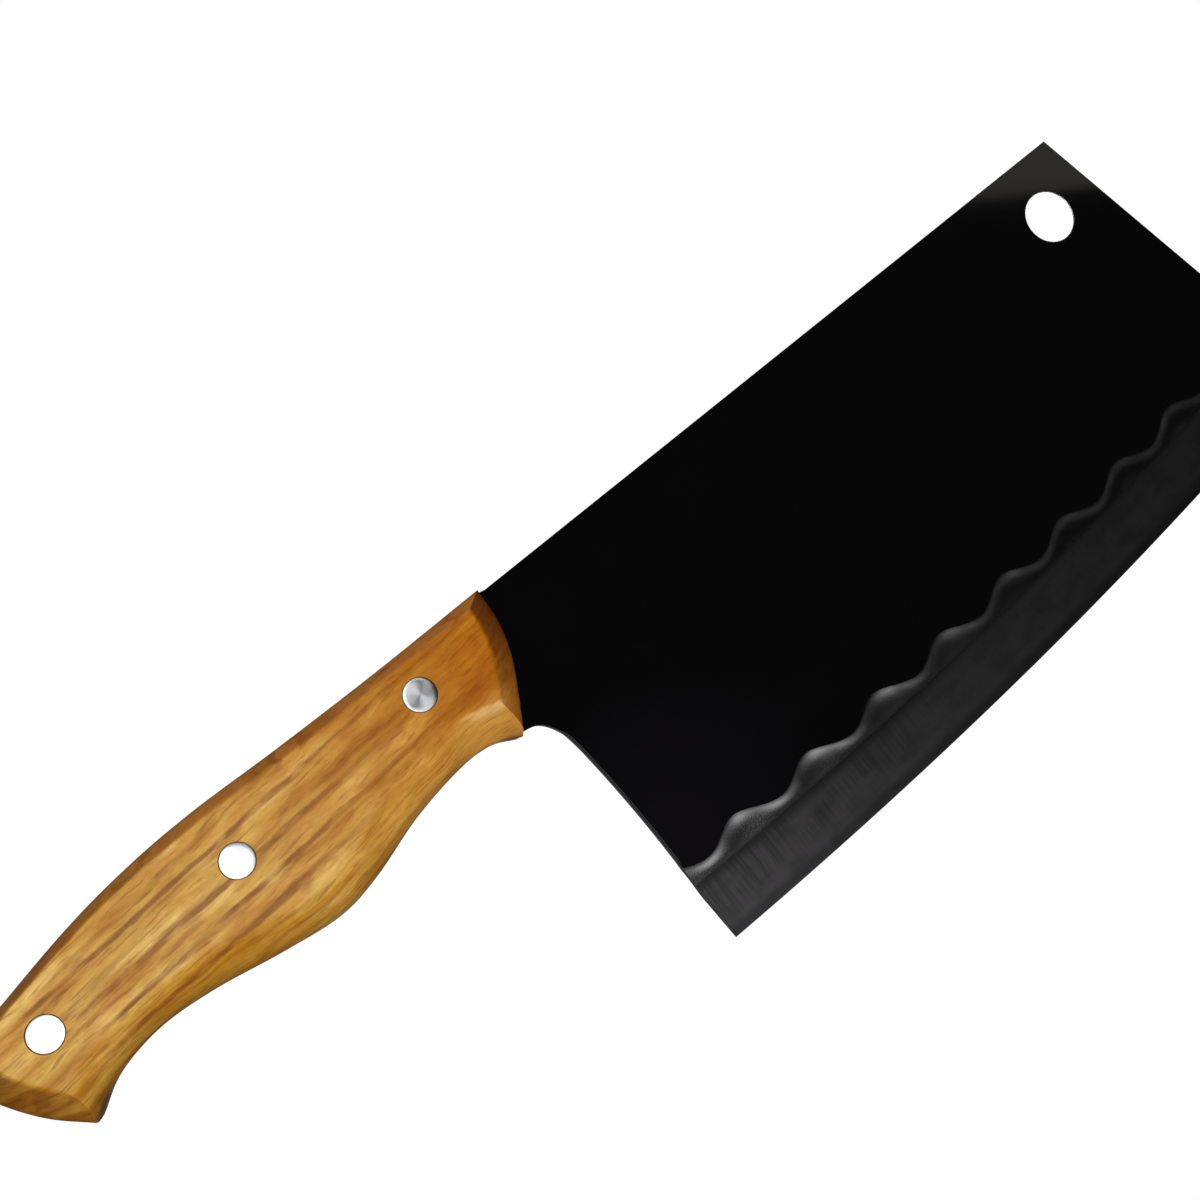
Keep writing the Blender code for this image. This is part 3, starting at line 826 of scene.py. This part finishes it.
def coated_material():
    """Black baked coating, not quite even, with a few specks near the heel."""
    s = Shader("black_coating", Metallic=0.0)
    s.principled.inputs["IOR"].default_value = 1.5
    p = s.position()
    x, y, _ = s.split(p)
    smudge = s.noise(s.scaled(p, (1 / 34, 1 / 21, 1 / 21)), 3.0)
    grain = s.noise(p, 1.0, scale=3.0)
    near_heel = s.math("MULTIPLY", s.ramp(x, 40.0, -5.0), s.ramp(y, -20.0, -60.0))
    speck = s.math("MULTIPLY", s.ramp(s.noise(p, 0.0, scale=0.9), 0.84, 0.88), near_heel)
    colour = s.mix(s.ramp(smudge, 0.35, 0.7), (0.0014, 0.0014, 0.0016), (0.0020, 0.0017, 0.0020))
    colour = s.mix(near_heel, colour, (0.0036, 0.0031, 0.0040))
    s.set("Base Color", s.mix(s.math("MULTIPLY", speck, 0.5), colour, (0.03, 0.026, 0.03)))
    s.set("Roughness", s.ramp(smudge, 0.3, 0.75, 0.05, 0.07))
    s.bump(grain, 0.05, 0.01 * MM)
    return s.material


def ground_material():
    """Bare steel of the bevel, ground across the edge, most deeply near the heel."""
    s = Shader("ground_steel", Metallic=1.0)
    x, y, _ = s.split(s.position())
    centre = (EDGE_CENTRE.x / MM, EDGE_CENTRE.y / MM, 0.0)
    to_centre = s.node("ShaderNodeVectorMath", s.join(x, y, 0.0), centre, operation="DISTANCE")
    distance = s.math("SUBTRACT", EDGE_RADIUS / MM, to_centre.outputs["Value"])
    angle = s.math("MULTIPLY", s.math("SUBTRACT", x, WAVE_CREST_X / MM), 2 * math.pi * MM / WAVE_LENGTH)
    border = s.math("MULTIPLY_ADD", s.math("COSINE", angle), WAVE_HEIGHT / MM, WAVE_DISTANCE / MM)
    below_border = s.math("SUBTRACT", border, distance)

    def cells(length, width, seed, detail):
        """Noise in patches of this length along the edge and this width across it."""
        place = s.join(s.math("DIVIDE", x, length), s.math("DIVIDE", distance, width), seed)
        return s.noise(place, detail)

    # grinding lines on the taper, in groups
    lines = cells(0.62, 18, 0.0, 2.0)
    ground = s.math("MULTIPLY", s.ramp(distance, 12.5, 11.7), s.ramp(distance, 3.0, 8.0, 0.25, 1.0))
    depth = s.math("MULTIPLY", ground, s.ramp(x, 62.0, 22.0, 0.22, 1.0))
    scored = s.math("MULTIPLY", s.ramp(lines, 0.40, 0.62), s.ramp(cells(12, 7, 4.0, 1.0), 0.34, 0.54))
    taper = s.mix(s.math("MULTIPLY", s.math("MULTIPLY", scored, depth), 0.45),
                  (0.25, 0.24, 0.25), (0.07, 0.066, 0.07))
    # darker in soft patches and along the head of the taper
    patches = s.ramp(cells(7, 4, 2.0, 2.0), 0.40, 0.66, 0.0, 0.30)
    head = s.math("MULTIPLY", s.ramp(distance, 9.4, 12.2, 0.0, 0.8), s.ramp(x, 80.0, 40.0, 0.25, 1.0))
    taper = s.mix(s.math("MAXIMUM", head, patches), taper, (0.09, 0.086, 0.09))
    # the fillet is darker in its first millimetre, and towards the tip it has painted shade under each
    # crest
    fillet = s.mix(s.ramp(below_border, 0.0, 0.9), (0.16, 0.157, 0.16), (0.42, 0.415, 0.42))
    shade_under_crests = s.math("MULTIPLY", s.ramp(below_border, 1.3, 2.6), s.ramp(distance, 12.0, 12.6))
    shade_under_crests = s.math("MULTIPLY", shade_under_crests, s.ramp(x, 60.0, 100.0, 0.0, 0.7))
    fillet = s.mix(shade_under_crests, fillet, (0.10, 0.098, 0.10))

    colour = s.mix(s.ramp(distance, 12.9, 12.1), fillet, taper)
    colour = s.mix(s.ramp(distance, 3.0, 0.9, 0.0, 0.55), colour, (0.07, 0.066, 0.073))
    s.set("Base Color", colour)
    s.set("Roughness", s.ramp(distance, 13.0, 11.5, 0.25, 0.36))
    s.bump(s.math("MULTIPLY", lines, depth), 0.25, 0.01 * MM)
    return s.material


def bare_material():
    """Bright cut steel inside the hang hole."""
    s = Shader("bare_steel", Metallic=1.0)
    p = s.position()
    marks = s.noise(s.scaled(p, (1.2, 1.2, 9.0)), 2.0)
    s.set("Base Color", s.mix(marks, (0.72, 0.72, 0.72), (0.92, 0.92, 0.92)))
    s.set("Roughness", s.ramp(marks, 0.3, 0.7, 0.30, 0.42))
    return s.material


def rivet_material():
    """Steel faced on a lathe: fine circles round the rivet's own axis."""
    s = Shader("turned_steel", Metallic=1.0, Anisotropic=0.8)
    p = s.position()
    x, y, _ = s.split(p)
    radius = s.node("ShaderNodeVectorMath", s.join(x, y, 0.0), operation="LENGTH").outputs["Value"]
    circles = s.noise(s.join(s.math("DIVIDE", radius, 0.08), 0.0, 0.0), 2.0)
    wear = s.noise(p, 2.0, scale=0.9)
    s.set("Base Color", s.mix(circles, (0.70, 0.73, 0.78), (0.84, 0.86, 0.89)))
    s.set("Roughness", s.ramp(wear, 0.3, 0.7, 0.29, 0.31))
    tangent = s.node("ShaderNodeTangent", direction_type="RADIAL", axis="Z")
    s.link(tangent.outputs["Tangent"], s.principled.inputs["Tangent"])
    return s.material


# ---------------------------------------------------------------- floor, light and camera

WHITE = 1.02                          # floor and room where the camera looks straight at them
FLOOR_GLOW = 0.12                     # the floor as the object sees it
ROOM_GLOW = 0.012                     # the room as the object sees it
WALL_GLOW = 0.35                      # its walls near the ground, in reflections


def switch(tree, chooser, off, on):
    """off where the chooser is 0 and on where it is 1; each of the two is a number or a socket."""
    made = tree.nodes.new("ShaderNodeMapRange")
    tree.links.new(chooser, made.inputs["Value"])
    for name, value in (("To Min", off), ("To Max", on)):
        if isinstance(value, bpy.types.NodeSocket):
            tree.links.new(value, made.inputs[name])
        else:
            made.inputs[name].default_value = value
    return made.outputs[0]


def floor_material():
    """White for the camera and dim for the object, so that the floor casts no glow on it."""
    material = bpy.data.materials.new("pale_floor")
    material.use_nodes = True
    tree = material.node_tree
    tree.nodes.clear()
    path = tree.nodes.new("ShaderNodeLightPath")
    emission = tree.nodes.new("ShaderNodeEmission")
    strength = switch(tree, path.outputs["Is Camera Ray"], FLOOR_GLOW, WHITE)
    tree.links.new(strength, emission.inputs["Strength"])
    output = tree.nodes.new("ShaderNodeOutputMaterial")
    tree.links.new(emission.outputs[0], output.inputs["Surface"])
    return material


def build_floor():
    mesh = bpy.data.meshes.new("floor")
    reach = 4.0
    drop = -0.2 * MM
    corners = [(-reach, -reach, drop), (reach, -reach, drop), (reach, reach, drop), (-reach, reach, drop)]
    mesh.from_pydata(corners, [], [(0, 1, 2, 3)])
    floor = bpy.data.objects.new("floor", mesh)
    mesh.materials.append(floor_material())
    bpy.context.scene.collection.objects.link(floor)


def build_world():
    """A dim room. Its walls are pale near the ground, but only reflections show that."""
    world = bpy.data.worlds.new("studio")
    bpy.context.scene.world = world
    world.use_nodes = True
    tree = world.node_tree
    background = tree.nodes["Background"]
    background.inputs["Color"].default_value = (1.0, 1.0, 1.0, 1.0)
    path = tree.nodes.new("ShaderNodeLightPath")
    direction = tree.nodes.new("ShaderNodeTexCoord")
    split = tree.nodes.new("ShaderNodeSeparateXYZ")
    tree.links.new(direction.outputs["Generated"], split.inputs[0])
    walls = tree.nodes.new("ShaderNodeMapRange")
    walls.interpolation_type = "SMOOTHSTEP"
    steepness = {"From Min": 0.48, "From Max": 0.22, "To Min": ROOM_GLOW, "To Max": WALL_GLOW}
    for name, value in steepness.items():
        walls.inputs[name].default_value = value
    tree.links.new(split.outputs["Z"], walls.inputs["Value"])
    for_object = switch(tree, path.outputs["Is Glossy Ray"], ROOM_GLOW, walls.outputs[0])
    strength = switch(tree, path.outputs["Is Camera Ray"], for_object, WHITE)
    tree.links.new(strength, background.inputs["Strength"])


def softbox(name, centre, size, radiance, target=None, turn=0.0, glossy=True, colour=(1.0, 1.0, 1.0)):
    """An area light unseen by the camera. It looks at target, or straight down and turned about Z."""
    data = bpy.data.lights.new(name, "AREA")
    data.shape = "RECTANGLE"
    data.size, data.size_y = size
    data.color = colour
    data.energy = radiance * math.pi * data.size * data.size_y
    light = bpy.data.objects.new(name, data)
    light.location = centre
    if target is None:
        light.rotation_euler = (0.0, 0.0, math.radians(turn))
    else:
        aim = Vector(target) - Vector(centre)
        light.rotation_euler = aim.to_track_quat("-Z", "Y").to_euler()
    light.visible_camera = False
    light.visible_glossy = glossy
    bpy.context.scene.collection.objects.link(light)


def build_lights():
    # over the handle: shown by the rivets' heads and as a veil on the varnish
    softbox("over_handle", (-0.245, -0.01, 0.6), size=(0.40, 0.30), radiance=2.7)
    # main fill from straight above, which the glossy faces don't show
    softbox("fill", (-0.05, -0.03, 1.1), size=(0.9, 0.9), radiance=4.7, glossy=False)
    # in front of the edge: these light the bevel's fillet, less and less towards the tip
    for x, width, radiance in ((0.07, 0.12, 1.15), (0.19, 0.12, 0.19), (0.38, 0.24, 0.03)):
        softbox(f"front_{round(x * 100)}", (x, -0.36, 0.42), size=(width, 0.14), radiance=radiance,
                target=(x - 0.07, -0.03, 0.0))
    # over the spine: shown above and below the middle of the front rivet's head
    softbox("behind_spine", (0.03, 0.22, 0.6), size=(0.12, 0.12), radiance=3.8)
    # low in front of the handle: shown by the facet at the handle's front corner
    softbox("low_front", (-0.10, -0.42, 0.25), size=(0.08, 0.06), radiance=4.0,
            target=(-0.045, 0.02, 0.016))
    # past the tip: a slanted edge of light in the blade's upper corner
    softbox("past_tip", (0.618, 0.105, 0.6), size=(0.22, 0.12), radiance=0.53, turn=-29,
            colour=(1.0, 0.92, 0.84))
    # under the tip: white in the wall of the hang hole
    softbox("under_tip", (0.108, 0.0267, 0.002), size=(0.05, 0.03), radiance=1.5,
            target=(0.108, 0.0267, 1.0))


CAMERA_TILT = math.radians(16.0)      # of the view away from straight down, along the blade
CAMERA_ROLL = math.radians(38.6)      # rise of the spine in the picture
CAMERA_TURN = math.radians(-1.028)    # of the tilt's direction away from the blade's X axis
CAMERA_DISTANCE = 0.26688
CAMERA_AIM = Vector((16.39 * MM, -15.24 * MM, 0.0))
LENS = 41.96
SENSOR = 36.0


def build_camera():
    direction = Vector((math.cos(CAMERA_TURN), math.sin(CAMERA_TURN), 0.0))
    along = direction * math.cos(CAMERA_TILT) + Vector((0.0, 0.0, math.sin(CAMERA_TILT)))
    down = Vector((direction.y, -direction.x, 0.0))
    right = along * math.cos(CAMERA_ROLL) + down * math.sin(CAMERA_ROLL)
    up = along * math.sin(CAMERA_ROLL) - down * math.cos(CAMERA_ROLL)
    back = right.cross(up)
    data = bpy.data.cameras.new("camera")
    data.lens = LENS
    data.sensor_width = SENSOR
    data.clip_start = 0.01
    data.clip_end = 20.0
    camera = bpy.data.objects.new("camera", data)
    place = BLADE_ORIGIN + CAMERA_AIM + back * CAMERA_DISTANCE
    camera.matrix_world = Matrix.Translation(place) @ Matrix((right, up, back)).transposed().to_4x4()
    bpy.context.scene.collection.objects.link(camera)
    bpy.context.scene.camera = camera


build_camera()
build_blade([coated_material(), ground_material(), bare_material()])
build_scales([wood_material()])
build_rivets(rivet_material())
build_floor()
build_world()
build_lights()
bpy.context.scene.view_settings.view_transform = "Standard"
